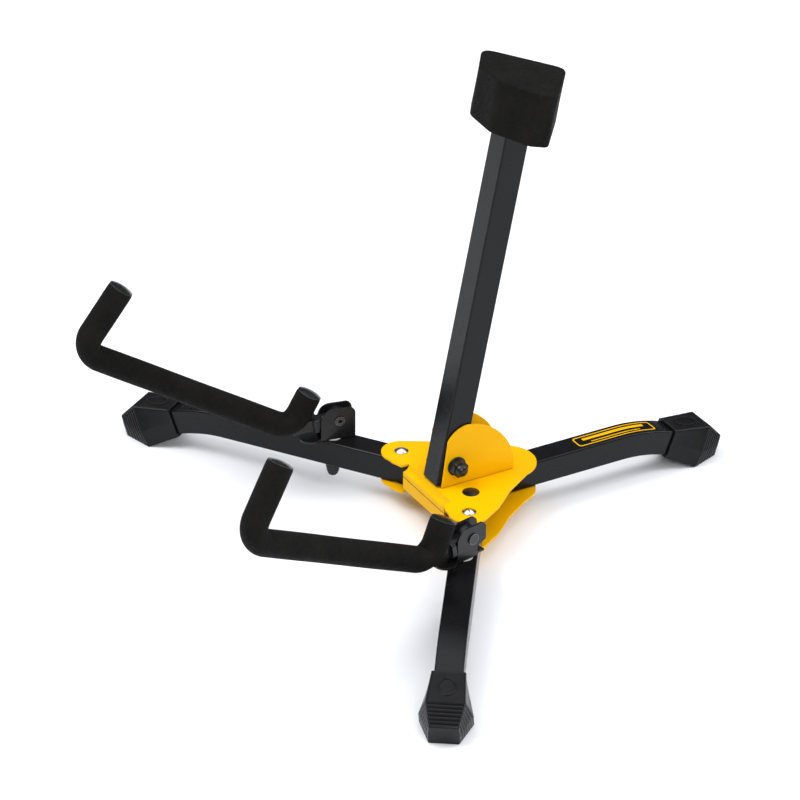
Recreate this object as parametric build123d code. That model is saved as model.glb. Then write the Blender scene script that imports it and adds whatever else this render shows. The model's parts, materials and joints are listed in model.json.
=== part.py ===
from build123d import *
import os
from math import atan2, cos, degrees, hypot, radians, sin

os.makedirs("parts", exist_ok=True)

# A folding three-legged stand that holds a saxophone by its bow and its bell.
# Lengths are in millimetres and angles in degrees. The front is -X, the left side is +Y.
# Everything is laid out about the hub: x = 0 passes through both front leg rivets and
# z = 0 is the floor. The finished parts are then moved so that the origin is the middle
# of the footprint, on the floor.

# ---------------------------------------------------------------- driving dimensions
TUBE = 20.0               # side of every square tube
TUBE_WALL = 1.5
TUBE_CORNER = 1.4
BORE_CORNER = 0.3
SHEET = 1.6               # hub plates, ears and brackets
SHIM = 0.4                # nylon washers between legs and hub plates
EDGE = 0.35               # softened edges of the sheet metal

HUB_TOP = 41.0            # top face of the upper hub plate
LEG_RIVET_Y = 49.5        # front leg pivots, either side of the middle
LEG_OPEN = 124.5          # front leg's heading when open, from the rear leg's heading
LOBE_R = 15.0             # rounded lobes of the hub about the leg rivets
REAR_LOBE_X = 59.5
REAR_LOBE_R = 23.5
FLANGE_X = -9.5           # front face of the folded flanges
FLANGE_HALF = 30.0
FLANGE_BEND = 5.0         # outer bend radius of the flanges
FLANGE_SLIT = 0.7         # cut between the end of a flange and the lobe beside it
UPPER_FLANGE = 8.7        # how far the upper flange hangs down
FLANGE_SEAM = 0.9         # gap between the two flanges
SPACER_X, SPACER_Y = 15.1, 26.2

RIVET_R = 3.0             # shank of the leg rivets
RIVET_HEAD_R = 5.2
RUNNING = 0.05            # radial clearance of every running fit
LOOSE = 0.1               # clearance of fixed pieces in their holes

LEG_INNER = 16.0          # length of front leg inside its rivet
BEND_START = 146.3        # straight length of a front leg outside its rivet
REAR_BEND_START = 158.0   # the same on the rear leg, from the rivets' line
REAR_LEG_START = 24.0
BEND_R = 121.0            # leg bend, at the middle of the tube
LEG_DROOP = 20.0          # slope of the leg end inside its foot
LEG_END = 12.0            # straight length after the bend

FOOT_WALL = 1.9
FOOT_KNEE = 59.7          # from the start of the bend to the widest section, on the floor
KNEE_SLANT = 30.0         # the widest section leans out over the toe
FOOT_TIP = 83.2           # from the start of the bend to the toe, on the floor
TOE_SLANT = 19.0          # the toe leans out too
KNEE_HALF, KNEE_H, KNEE_TOP_HALF, KNEE_TOP_H = 18.6, 13.4, 13.4, 33.5
TOE_HALF, TOE_H = 10.5, 16.9
SOLE_TRIM = 1.0           # the sections run on below the floor and are cut flat

LEAN = 11.05              # upright's lean towards the rear
UPRIGHT_X = 5.55          # middle of the upright at the level of the hub top
PIVOT_X, PIVOT_Z = 11.0, HUB_TOP + 15.8
PIVOT_R = 3.0
SLEEVE_R = 5.0
HEEL_R = 13.9             # rounded heel of the upright about its pivot
EAR_GAP = TUBE / 2 + SHIM
PAD_FOOT, PAD_H = 277.7, 38.5       # along the upright, from the hub top
PAD_EDGE = 1.5
PAD_TURN = -34.3          # the pad is turned on its plug
PAD_SOCKET = 30.0         # how deep the upright goes into the pad
PAD_BORE_R = 13.6         # round bore that lets the pad turn about the square tube
PLUG_DISC_R, PLUG_DISC_T = 17.0, 3.0
SOFT_GAP = 0.3            # foam's clearance from pieces of another body

BRACKET_U = 57.0          # bracket bolt, along the front leg from its rivet
BRACKET_YAW = 11.7        # arm's heading at rest, outwards from straight ahead
BRACKET_GAP = 4.0         # half the space between a bracket's ears
PIN_BACK, PIN_UP = 3.8, 15.4        # arm pin, from the bolt and above the leg
PIN_R = 2.5
BOLT_R = 2.5
TONGUE_X, TONGUE_R = 17.2, 8.4      # round front end of the bracket's base

ARM_REACH, ARM_SINK = 29.6, 21.7    # arm pin to the inner corner, along and square to the arm
ARM_LONG, ARM_OUTER, ARM_INNER = 180.3, 58.0, 33.5
OUTER_LEAN, INNER_LEAN = 4.7, 2.0   # both pegs lean from square towards the middle of the arm
ARM_BEND = 15.0
ROD_R = 4.0
ROD_TRIM = 3.2            # the rod ends this far below the tops of the caps
FOAM_R = 9.7
CAP_R, CAP_RIM, CAP_H = 9.3, 0.6, 2.2
CAP_SLEEVE_R, CAP_SLEEVE = 5.6, 8.0 # sleeve that grips the rod inside the foam
LINK_HALF = 4.6           # half height of the link's bar
LINK_SHORT = 1.0          # the link stops short of the rod's corner
COLLAR_X, COLLAR_T = 18.2, 3.6
ARM_PITCH = {"left": 30.1, "right": 26.8}

# ---------------------------------------------------------------- derived dimensions
PLATE_GAP = TUBE + 2 * SHIM
TUBE_Z = HUB_TOP - SHEET - PLATE_GAP / 2          # middle of the level part of a leg
HUB_BOTTOM = HUB_TOP - 2 * SHEET - PLATE_GAP
LEG_TOP = TUBE_Z + TUBE / 2
LEG_FLOOR = TUBE_Z - TUBE / 2
BRACKET_Z = LEG_TOP + SHIM                        # underside of a bracket
BRACKET_TOP = BRACKET_Z + SHEET
SIDES = {"left": 1, "right": -1}
X_AXIS, Y_AXIS, Z_AXIS = Vector(1, 0, 0), Vector(0, 1, 0), Vector(0, 0, 1)


def turned(shape, angle):
    """Turn a shape about the vertical through the hub's zero."""
    return Rot(0, 0, angle) * shape


def post(radius, low, high, x=0.0, y=0.0):
    """A vertical cylinder between two heights."""
    return Pos(x, y, (low + high) / 2) * Cylinder(radius, high - low)


def rod_y(radius, low, high, x, z):
    """A cylinder along Y between two places."""
    return Pos(x, (low + high) / 2, z) * Rot(90, 0, 0) * Cylinder(radius, high - low)


def softened(shape, radius=EDGE):
    """Round every edge where that works, and leave the shape alone where it doesn't."""
    try:
        result = fillet(shape.edges(), radius)
    except Exception:
        return shape
    return result if result.is_valid else shape


def mirrored(shape):
    return mirror(shape, Plane.XZ)


# ---------------------------------------------------------------- hub
def hub_outline():
    """Plan of a hub plate: two front lobes, a broad rear lobe and waisted sides."""
    half = [
        (FLANGE_X + FLANGE_BEND, 0), (FLANGE_X + FLANGE_BEND, FLANGE_HALF + FLANGE_SLIT),
        (-10.4, FLANGE_HALF + FLANGE_SLIT), (-13.4, 38.5), (-14.9, 52), (-4.5, 63.8), (8.2, 62.0),
        (23.5, 53), (41.9, 37.2), (66.5, 22.0), (66.5, 0),
    ]
    outline = half + [(x, -y) for x, y in reversed(half) if y]
    body = make_face(Polyline(*outline, close=True))
    body += Pos(0, LEG_RIVET_Y) * Circle(LOBE_R) + Pos(0, -LEG_RIVET_Y) * Circle(LOBE_R)
    body += Pos(REAR_LOBE_X, 0) * Circle(REAR_LOBE_R)
    shoulders = [v for v in body.vertices() if abs(v.X - 23.5) < 1]
    body = fillet(shoulders, 9)
    waist = [v for v in body.vertices() if abs(v.X - 41.9) < 1]
    body = fillet(waist, 22)
    return body.face() if hasattr(body, "face") else body


def flange(height):
    """Front flange, with its bend; the plate's top face is at z = 0 and it hangs down."""
    outer, inner = FLANGE_BEND, FLANGE_BEND - SHEET
    start = FLANGE_X + outer
    profile = make_face(
        Polyline((start, 0), (start, -SHEET))
        + RadiusArc((start, -SHEET), (FLANGE_X + SHEET, -outer), inner)
        + Polyline((FLANGE_X + SHEET, -outer), (FLANGE_X + SHEET, -height), (FLANGE_X, -height),
                   (FLANGE_X, -outer))
        + RadiusArc((FLANGE_X, -outer), (start, 0), -outer)
    )
    return extrude(Plane.XZ * profile, FLANGE_HALF, both=True)


def plate_holes(low, high):
    holes = [post(RIVET_R + LOOSE, low, high, 0, side * LEG_RIVET_Y) for side in (1, -1)]
    holes += [post(RIVET_R + LOOSE, low, high, SPACER_X, side * SPACER_Y) for side in (1, -1)]
    holes += [post(RIVET_R + LOOSE, low, high, x, 0) for x in REAR_RIVETS]
    return holes


REAR_RIVETS = (34.0, 56.0)


def hub_top_plate():
    plate = extrude(hub_outline(), SHEET, dir=(0, 0, -1)) + flange(UPPER_FLANGE)
    plate = softened(plate)
    plate = Pos(0, 0, HUB_TOP) * plate
    return plate - plate_holes(HUB_BOTTOM, HUB_TOP + 1)


def hub_bottom_plate():
    rise = 2 * SHEET + PLATE_GAP - UPPER_FLANGE - FLANGE_SEAM
    plate = extrude(hub_outline(), SHEET, dir=(0, 0, -1)) + flange(rise)
    plate = softened(plate)
    plate = Pos(0, 0, HUB_BOTTOM) * mirror(plate, Plane.XY)
    return plate - plate_holes(HUB_BOTTOM - 1, HUB_TOP)


def ear_profile():
    """Side view of an ear, from its foot line at z = 0."""
    return make_face(
        Polyline((59.4, 0), (-1, 0), (4, 37))
        + ThreePointArc((4, 37), (9.8, 43.6), (20, 47.2))
        + ThreePointArc((20, 47.2), (45.5, 35.8), (59.8, 8.4))
        + Line((59.8, 8.4), (59.4, 0))
    )


def upright_clevis():
    """Two tall ears joined by a web that is riveted down through the rear leg."""
    ear = extrude(Plane.XZ * ear_profile(), SHEET)
    left = Pos(0, EAR_GAP + SHEET, HUB_TOP) * ear
    right = Pos(0, -EAR_GAP, HUB_TOP) * ear
    web = Pos(29, 0, HUB_TOP + SHEET / 2) * Box(58, 2 * EAR_GAP + SHEET, SHEET)
    clevis = softened(left + right + web)
    clevis -= rod_y(PIVOT_R + LOOSE, -20, 20, PIVOT_X, PIVOT_Z)
    return clevis - [post(RIVET_R + LOOSE, HUB_TOP - 1, HUB_TOP + 5, x, 0) for x in REAR_RIVETS]


def domed_rivet(low, high, head_r, head_h, tail_r, tail_h):
    """A rivet on the Z axis: low domed head above, rolled tail below."""
    sphere_r = (head_r ** 2 + head_h ** 2) / (2 * head_h)
    dome = Pos(0, 0, high + head_h - sphere_r) * Sphere(sphere_r)
    dome &= post(head_r, high, high + head_h + 1)
    tail = fillet(post(tail_r, low - tail_h, low).edges().group_by(Axis.Z)[0], tail_h * 0.6)
    return dome + post(RIVET_R, low, high) + tail


def leg_rivet(side):
    return Pos(0, side * LEG_RIVET_Y, 0) * domed_rivet(
        HUB_BOTTOM, HUB_TOP, RIVET_HEAD_R, 2.3, 5.0, 1.6)


def spacer_rivets():
    """Black headed pins with a collar that keeps the hub plates apart."""
    pins = []
    for side in (1, -1):
        pin = domed_rivet(HUB_BOTTOM, HUB_TOP, 6.4, 1.3, 5.0, 1.6)
        pin += post(4.4, HUB_BOTTOM + SHEET, HUB_TOP - SHEET)
        pins.append(Pos(SPACER_X, side * SPACER_Y, 0) * pin)
    return pins


def rear_leg_rivets():
    rivet = domed_rivet(HUB_BOTTOM, HUB_TOP + SHEET, 5.0, 1.8, 5.0, 1.6)
    return [Pos(x, 0, 0) * rivet for x in REAR_RIVETS]


# ---------------------------------------------------------------- legs and feet
def tube_section(side, corner):
    return RectangleRounded(side, side, corner)


def leg_bar(start, bend_start, side, corner, extra=0.0):
    """Solid bar along +X at the level of the leg, bending down at its outer end."""
    section = tube_section(side, corner)
    straight = extrude(Plane(origin=(start, 0, TUBE_Z), x_dir=(0, 1, 0), z_dir=X_AXIS) * section,
                       bend_start - start)
    face = Plane(origin=(bend_start, 0, TUBE_Z), x_dir=(0, 1, 0), z_dir=X_AXIS) * section
    axis = Axis((bend_start, 0, TUBE_Z - BEND_R), Y_AXIS)
    bend = revolve(face, axis, LEG_DROOP)
    end_plane = leg_end_plane(bend_start)
    tail = extrude(end_plane * section, LEG_END + extra)
    return straight + bend + tail


def leg_end_plane(bend_start):
    """Section plane at the end of the bend, facing along the sloping end."""
    slope = radians(LEG_DROOP)
    origin = (bend_start + BEND_R * sin(slope), 0, TUBE_Z - BEND_R * (1 - cos(slope)))
    return Plane(origin=origin, x_dir=(0, 1, 0), z_dir=(cos(slope), 0, -sin(slope)))


def leg_tube(start, bend_start):
    outer = leg_bar(start, bend_start, TUBE, TUBE_CORNER)
    bore = TUBE - 2 * TUBE_WALL
    inner = leg_bar(start - 1, bend_start, bore, BORE_CORNER, extra=1)
    return outer - inner


def section_wire(plane, points):
    return make_face(plane * Polyline(*points, close=True)).face().outer_wire()


def foot(start, bend_start):
    """Rubber boot: a square mouth, a wide knee and a blunt toe, all flat on the floor."""
    mouth = leg_end_plane(bend_start)
    h = TUBE / 2 + FOOT_WALL
    mouth_points = [(-h, -h), (h, -h), (h, 0.2 * h), (h, h), (-h, h), (-h, 0.2 * h)]
    slant = radians(KNEE_SLANT)
    knee = Plane(origin=(bend_start + FOOT_KNEE, 0, 0), x_dir=(0, 1, 0), z_dir=(cos(slant), 0, -sin(slant)))
    knee_points = [
        (-KNEE_HALF, -SOLE_TRIM), (KNEE_HALF, -SOLE_TRIM), (KNEE_HALF, KNEE_H),
        (KNEE_TOP_HALF, KNEE_TOP_H), (-KNEE_TOP_HALF, KNEE_TOP_H), (-KNEE_HALF, KNEE_H),
    ]
    lean = radians(TOE_SLANT)
    toe = Plane(origin=(bend_start + FOOT_TIP, 0, 0), x_dir=(0, 1, 0), z_dir=(cos(lean), 0, -sin(lean)))
    side_h = TOE_H * 0.55
    toe_points = [
        (-TOE_HALF, -SOLE_TRIM), (TOE_HALF, -SOLE_TRIM), (TOE_HALF, side_h),
        (TOE_HALF - 0.6, TOE_H), (-TOE_HALF + 0.6, TOE_H), (-TOE_HALF, side_h),
    ]
    rear = Solid.make_loft([section_wire(mouth, mouth_points), section_wire(knee, knee_points)], True)
    front = Solid.make_loft([section_wire(knee, knee_points), section_wire(toe, toe_points)], True)
    below = Pos(bend_start + FOOT_KNEE, 0, -10) * Box(2 * FOOT_TIP, 4 * KNEE_HALF, 20)
    boot = rear + front - below
    return boot - leg_bar(start, bend_start, TUBE + 2 * LOOSE, TUBE_CORNER, extra=LOOSE)


def washer_pair(radius, hole):
    """Nylon washers above and below a leg, on the Z axis."""
    pairs = ((LEG_TOP, HUB_TOP - SHEET), (HUB_BOTTOM + SHEET, LEG_FLOOR))
    return [post(radius, low, high) - post(hole, low, high) for low, high in pairs]


def placed_leg(shape, side):
    """Move a shape from the leg's own frame, rivet at zero, to its place on the hub."""
    return Pos(0, side * LEG_RIVET_Y, 0) * turned(shape, side * LEG_OPEN)


def front_leg(side):
    leg = leg_tube(-LEG_INNER, BEND_START)
    leg -= post(RIVET_R + RUNNING, LEG_FLOOR - 1, LEG_TOP + 1)
    leg -= post(BOLT_R + LOOSE, LEG_FLOOR - 1, LEG_TOP + 1, BRACKET_U)
    return placed_leg(leg, side)


def rear_leg():
    leg = leg_tube(REAR_LEG_START, REAR_BEND_START)
    return leg - [post(RIVET_R + LOOSE, LEG_FLOOR - 1, LEG_TOP + 1, x) for x in REAR_RIVETS]


def rear_leg_shims():
    shims = []
    for x in REAR_RIVETS:
        shims += [Pos(x, 0, 0) * washer for washer in washer_pair(8.0, RIVET_R + LOOSE)]
    return shims


# ---------------------------------------------------------------- upright
def along_upright(distance):
    """Plane square to the upright, with +X to the rear, this far above the hub top."""
    lean = radians(LEAN)
    axis = Vector(sin(lean), 0, cos(lean))
    origin = Vector(UPRIGHT_X, 0, HUB_TOP) + axis * distance
    return Plane(origin=origin, x_dir=(cos(lean), 0, -sin(lean)), z_dir=axis)


def upright_bar(side, corner, low, high):
    return extrude(along_upright(low) * tube_section(side, corner), high - low)


def upright_tube():
    top = PAD_FOOT + PAD_SOCKET
    bore = TUBE - 2 * TUBE_WALL
    tube = upright_bar(TUBE, TUBE_CORNER, -20, top)
    tube -= upright_bar(bore, BORE_CORNER, -21, top + 1)
    tube -= Pos(0, 0, HUB_TOP + SHEET + 0.3 - 50) * Box(200, 60, 100)
    heel = Pos(PIVOT_X + 25, 0, PIVOT_Z - 25) * Box(50, 60, 50)
    tube -= heel - rod_y(HEEL_R, -40, 40, PIVOT_X, PIVOT_Z)
    return tube - rod_y(SLEEVE_R + LOOSE, -40, 40, PIVOT_X, PIVOT_Z)


def pivot_sleeve():
    half = TUBE / 2 + 0.1
    return (rod_y(SLEEVE_R, -half, half, PIVOT_X, PIVOT_Z)
            - rod_y(PIVOT_R + RUNNING, -half, half, PIVOT_X, PIVOT_Z))


def pivot_washers():
    """Nylon washers between the ears and the upright."""
    washers = []
    low, high = TUBE / 2 + 0.15, EAR_GAP
    for a, b in ((low, high), (-high, -low)):
        washers.append(rod_y(8.5, a, b, PIVOT_X, PIVOT_Z)
                       - rod_y(PIVOT_R + LOOSE, a, b, PIVOT_X, PIVOT_Z))
    return washers


PIVOT_OUTER = EAR_GAP + SHEET


def pivot_bolt():
    """Socket-free hexagon bolt: its head is on the left ear."""
    hexagon = extrude(Plane.XZ * RegularPolygon(5.6, 6, major_radius=False), 4.6)
    head = Pos(PIVOT_X, PIVOT_OUTER + 1.2 + 4.6, PIVOT_Z) * hexagon
    collar = rod_y(7.0, PIVOT_OUTER, PIVOT_OUTER + 1.2, PIVOT_X, PIVOT_Z)
    shank = rod_y(PIVOT_R, -PIVOT_OUTER - 5.0, PIVOT_OUTER + 1.2, PIVOT_X, PIVOT_Z)
    return head + collar + shank


def pivot_nut():
    """Black cap nut with a flange, on the right ear."""
    hexagon = extrude(Plane.XZ * RegularPolygon(6.0, 6, major_radius=False), 5.4)
    body = Pos(0, -1.2, 0) * hexagon
    body += Pos(0, -0.6, 0) * Rot(90, 0, 0) * Cylinder(7.4, 1.2)
    dome = Pos(0, -6.6, 0) * Sphere(5.0)
    body += dome - Pos(0, 9.4, 0) * Box(30, 30, 30)
    nut = Pos(PIVOT_X, -PIVOT_OUTER, PIVOT_Z) * body
    return nut - rod_y(PIVOT_R + 0.01, -PIVOT_OUTER - 5.1, -PIVOT_OUTER + 1, PIVOT_X, PIVOT_Z)


def pad_outline():
    """Plan of the bell pad: flat back and sides, and a front that narrows in three flats."""
    corners = [(-31.0, 36.8), (30.5, 27.6), (26.6, -39.0), (13.6, -43.8), (-15.0, -29.5), (-30.6, -1.0)]
    radii = [10.0, 11.0, 6.0, 8.0, 14.0, 16.0]
    face = make_face(Polyline(*corners, close=True))
    for (x, y), radius in zip(corners, radii):
        corner = min(face.vertices(), key=lambda v: (v.X - x) ** 2 + (v.Y - y) ** 2)
        face = fillet(corner, radius)
    return face


def pad_plug():
    """Plastic plug: a square stem in the tube and a disc that the pad is fixed to."""
    top = PAD_FOOT + PAD_SOCKET
    bore = TUBE - 2 * TUBE_WALL - 0.2
    stem = upright_bar(bore, 1.0, top - 22, top)
    disc = extrude(along_upright(top) * Circle(PLUG_DISC_R), PLUG_DISC_T)
    return stem + disc


def bell_pad():
    pad = extrude(pad_outline(), PAD_H)
    levels = pad.edges().group_by(Axis.Z)
    pad = fillet(levels[0] + levels[-1], PAD_EDGE)
    pad = along_upright(PAD_FOOT) * (Rot(0, 0, PAD_TURN) * pad)
    top = PAD_FOOT + PAD_SOCKET
    pad -= extrude(along_upright(PAD_FOOT - 1) * Circle(PAD_BORE_R), PAD_SOCKET + 1)
    recess = extrude(along_upright(top - SOFT_GAP) * Circle(PLUG_DISC_R + SOFT_GAP),
                     PLUG_DISC_T + 2 * SOFT_GAP)
    return pad - recess


# ---------------------------------------------------------------- brackets and arms
def bracket_place(side):
    """Frame of a bracket: zero on its bolt, +X along the arm's heading, Z from the floor."""
    heading = radians(LEG_OPEN)
    x = BRACKET_U * cos(heading)
    y = side * (LEG_RIVET_Y + BRACKET_U * sin(heading))
    return Pos(x, y, 0) * Rot(0, 0, side * (180 - BRACKET_YAW))


PIN_Z = LEG_TOP + PIN_UP
EAR_FRONT, EAR_BACK, EAR_TOP = 10.6, -16.0, PIN_Z + 10.2


def bracket(side):
    """Folded clevis: two ears on a base strip whose rounded front end carries the arm."""
    outer_ear = make_face(Polyline(
        (EAR_FRONT, BRACKET_Z), (EAR_FRONT, EAR_TOP), (EAR_BACK, EAR_TOP),
        (EAR_BACK, PIN_Z - 4), (EAR_BACK + 8, PIN_Z - 8), (EAR_BACK + 8, BRACKET_Z), close=True))
    inner_ear = make_face(Polyline(
        (EAR_FRONT, BRACKET_Z), (EAR_FRONT, EAR_TOP), (EAR_BACK, EAR_TOP),
        (EAR_BACK, BRACKET_Z), close=True))
    ears = []
    for profile, lateral in ((outer_ear, 1), (inner_ear, -1)):
        front = [v for v in profile.vertices() if v.X > 0 and v.Y > PIN_Z]
        profile = fillet(front, 9.5)
        back = [v for v in profile.vertices() if v.X < EAR_BACK + 1 and v.Y > PIN_Z + 5]
        profile = fillet(back, 5.0)
        low = BRACKET_GAP if lateral * side < 0 else -BRACKET_GAP - SHEET
        ears.append(Pos(0, low + SHEET, 0) * extrude(Plane.XZ * profile, SHEET))
    width = 2 * (BRACKET_GAP + SHEET)
    strip = Pos((EAR_FRONT + EAR_BACK) / 2, 0, BRACKET_Z + SHEET / 2) * Box(
        EAR_FRONT - EAR_BACK, width, SHEET)
    strip -= Pos(EAR_BACK, -side * width / 2, BRACKET_Z) * Box(16, 2 * SHEET, 10)
    tongue = Pos(14, 0) * Rectangle(10, width) + Pos(TONGUE_X, 0) * Circle(TONGUE_R)
    tongue = Pos(0, 0, BRACKET_Z) * extrude(tongue, SHEET)
    shape = softened(strip + tongue + ears[0] + ears[1], 0.3)
    shape -= post(BOLT_R + RUNNING, BRACKET_Z - 1, BRACKET_TOP + 1)
    return shape - rod_y(PIN_R + LOOSE, -20, 20, -PIN_BACK, PIN_Z)


def bracket_washer():
    return (post(7.0, LEG_TOP, BRACKET_Z) - post(BOLT_R + LOOSE, LEG_TOP, BRACKET_Z))


def bracket_bolt():
    """Vertical bolt that the bracket turns on, with a low round head above the base."""
    head = post(3.7, BRACKET_TOP + 0.05, BRACKET_TOP + 2.4)
    head = fillet(head.edges().group_by(Axis.Z)[-1], 0.8)
    return head + post(BOLT_R, LEG_FLOOR - 6, BRACKET_TOP + 0.05)


def bracket_cap():
    """Stepped, ribbed nut cap under the leg, with a round end."""
    steps = ((5.9, 3.2), (5.4, 6.0), (4.9, 8.8), (4.4, 10.4))
    cap = post(steps[0][0], LEG_FLOOR - steps[0][1], LEG_FLOOR)
    for radius, depth in steps[1:]:
        cap += post(radius, LEG_FLOOR - depth, LEG_FLOOR)
    tip = Pos(0, 0, LEG_FLOOR - 9.2) * Sphere(4.4)
    cap += tip - post(10, LEG_FLOOR - 9.2, LEG_FLOOR)
    return cap - post(BOLT_R + 0.01, LEG_FLOOR - 6.1, LEG_FLOOR + 1)


def arm_pin(side):
    """Semi-tubular rivet: broad head outside, rolled hollow end on the hub side."""
    outside = BRACKET_GAP + SHEET
    pin = rod_y(PIN_R, -outside - 0.2, outside + 0.2, 0, 0)
    pin += rod_y(4.2, -outside - 1.2, -outside, 0, 0)
    rolled = rod_y(3.7, outside, outside + 1.0, 0, 0)
    pin += rolled
    pin -= rod_y(1.9, outside - 2.5, outside + 2, 0, 0)
    if side < 0:
        pin = mirrored(pin)
    return Pos(-PIN_BACK, 0, PIN_Z) * pin


def arm_place(side):
    """Frame of an arm in its bracket's frame: zero on the pin, +X along the arm."""
    pitch = ARM_PITCH["left" if side > 0 else "right"]
    return Pos(-PIN_BACK, 0, PIN_Z) * Rot(0, -pitch, 0)


def peg_end(corner_x, length, lean):
    """Point on a peg's middle line, this far from its corner."""
    tilt = radians(lean)
    return (ARM_REACH + corner_x + length * sin(tilt), 0, length * cos(tilt) - ARM_SINK)


def arm_path(trim):
    """Middle line of the arm, with both pegs cut short by the trim."""
    start = peg_end(ARM_LONG, ARM_OUTER - trim, -OUTER_LEAN)
    end = peg_end(0, ARM_INNER - trim, INNER_LEAN)
    corners = [(ARM_REACH + ARM_LONG, 0, -ARM_SINK), (ARM_REACH, 0, -ARM_SINK)]
    return FilletPolyline(start, *corners, end, radius=ARM_BEND)


def swept(radius, path, hole=0.0):
    plane = Plane(origin=path @ 0, z_dir=path % 0)
    section = Circle(radius) - Circle(hole) if hole else Circle(radius)
    return sweep(plane * section, path)


def arm_rod():
    return swept(ROD_R, arm_path(ROD_TRIM))


def cap_places():
    """Planes on the ends of the foam, facing out along each peg."""
    places = []
    for corner, length, lean in ((ARM_LONG, ARM_OUTER, -OUTER_LEAN), (0, ARM_INNER, INNER_LEAN)):
        tip = Vector(*peg_end(corner, length, lean))
        base = Vector(*peg_end(corner, length - CAP_H, lean))
        places.append(Plane(origin=base, z_dir=tip - base))
    return places


def arm_caps():
    """Low domed plastic caps with sleeves pushed onto both ends of the rod."""
    dome_h = CAP_H - CAP_RIM
    sphere_r = (CAP_R ** 2 + dome_h ** 2) / (2 * dome_h)
    cap = Pos(0, 0, CAP_H - sphere_r) * Sphere(sphere_r) & post(CAP_R, 0, CAP_H + 1)
    cap += post(CAP_SLEEVE_R, -CAP_SLEEVE, 0)
    cap -= post(ROD_R + 0.01, -CAP_SLEEVE - 1, CAP_H - ROD_TRIM)
    return [plane * cap for plane in cap_places()]


def arm_link():
    """Steel tongue from the pin to the rod's inner corner, with a collar at the foam."""
    half = BRACKET_GAP - 0.25
    slope = degrees(atan2(ARM_SINK, ARM_REACH))
    length = hypot(ARM_REACH, ARM_SINK) - LINK_SHORT
    bar = Pos(length / 2, 0, 0) * Box(length, 2 * half, 2 * LINK_HALF)
    collar = Pos(COLLAR_X, 0, 0) * Box(COLLAR_T, 13.0, 2 * LINK_HALF + 2.0)
    collar = fillet(collar.edges().filter_by(Axis.X), 1.5)
    link = Rot(0, slope, 0) * (bar + collar) + rod_y(8.0, -half, half, 0, 0)
    return link - rod_y(PIN_R + RUNNING, -20, 20, 0, 0) - arm_rod()


def arm_foam():
    foam = swept(FOAM_R, arm_path(CAP_H + 0.05), ROD_R + 0.02)
    foam -= [plane * post(CAP_SLEEVE_R + 0.02, -CAP_SLEEVE - 0.1, 1) for plane in cap_places()]
    slope = degrees(atan2(ARM_SINK, ARM_REACH))
    slot = Box(2 * hypot(ARM_REACH, ARM_SINK), 2 * BRACKET_GAP, 2 * LINK_HALF + 0.5)
    return foam - Rot(0, slope, 0) * slot


# ---------------------------------------------------------------- assembly
def build():
    nodes = {
        "hub_top_plate": hub_top_plate(),
        "hub_bottom_plate": hub_bottom_plate(),
        "upright_clevis": upright_clevis(),
        "spacer_rivets": spacer_rivets(),
        "rear_leg": rear_leg(),
        "rear_leg_shims": rear_leg_shims(),
        "rear_leg_rivets": rear_leg_rivets(),
        "rear_foot": foot(REAR_LEG_START, REAR_BEND_START),
        "upright_tube": upright_tube(),
        "pivot_sleeve": pivot_sleeve(),
        "pivot_bolt": pivot_bolt(),
        "pivot_nut": pivot_nut(),
        "pivot_washers": pivot_washers(),
        "pad_plug": pad_plug(),
        "bell_pad": bell_pad(),
    }
    for name, side in SIDES.items():
        place = bracket_place(side)
        leg_washers = washer_pair(9.0, RIVET_R + LOOSE)
        nodes[f"{name}_leg"] = front_leg(side)
        nodes[f"{name}_foot"] = placed_leg(foot(0, BEND_START), side)
        nodes[f"{name}_leg_rivet"] = leg_rivet(side)
        nodes[f"{name}_leg_washers"] = [Pos(0, side * LEG_RIVET_Y, 0) * w for w in leg_washers]
        nodes[f"{name}_bracket"] = place * bracket(side)
        nodes[f"{name}_bracket_washer"] = place * bracket_washer()
        nodes[f"{name}_bracket_bolt"] = place * bracket_bolt()
        nodes[f"{name}_bracket_cap"] = place * bracket_cap()
        nodes[f"{name}_arm_pin"] = place * arm_pin(side)
        arm = place * arm_place(side)
        nodes[f"{name}_arm_link"] = arm * arm_link()
        nodes[f"{name}_arm_rod"] = arm * arm_rod()
        nodes[f"{name}_arm_foam"] = arm * arm_foam()
        nodes[f"{name}_arm_caps"] = [arm * cap for cap in arm_caps()]
    return nodes


def solids_of(shape):
    """All solids of a node made of one or more shapes."""
    pieces = shape if isinstance(shape, (list, tuple, ShapeList)) else [shape]
    return [solid for piece in pieces for solid in piece.solids()]


nodes = {name: solids_of(shape) for name, shape in build().items()}
boxes = [solid.bounding_box() for solids in nodes.values() for solid in solids]
low_x = min(box.min.X for box in boxes)
high_x = max(box.max.X for box in boxes)
low_z = min(box.min.Z for box in boxes)
shift = Pos(-(low_x + high_x) / 2, 0, -low_z)

for name, solids in nodes.items():
    moved = [shift * solid for solid in solids]
    export_step(Compound(moved) if len(moved) > 1 else moved[0], f"parts/{name}.step")

print(f"moved by {shift.position.X:.4f} {shift.position.Y:.4f} {shift.position.Z:.4f}")
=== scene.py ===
import json
import math

import bmesh
import bpy
from mathutils import Matrix, Vector


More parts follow.
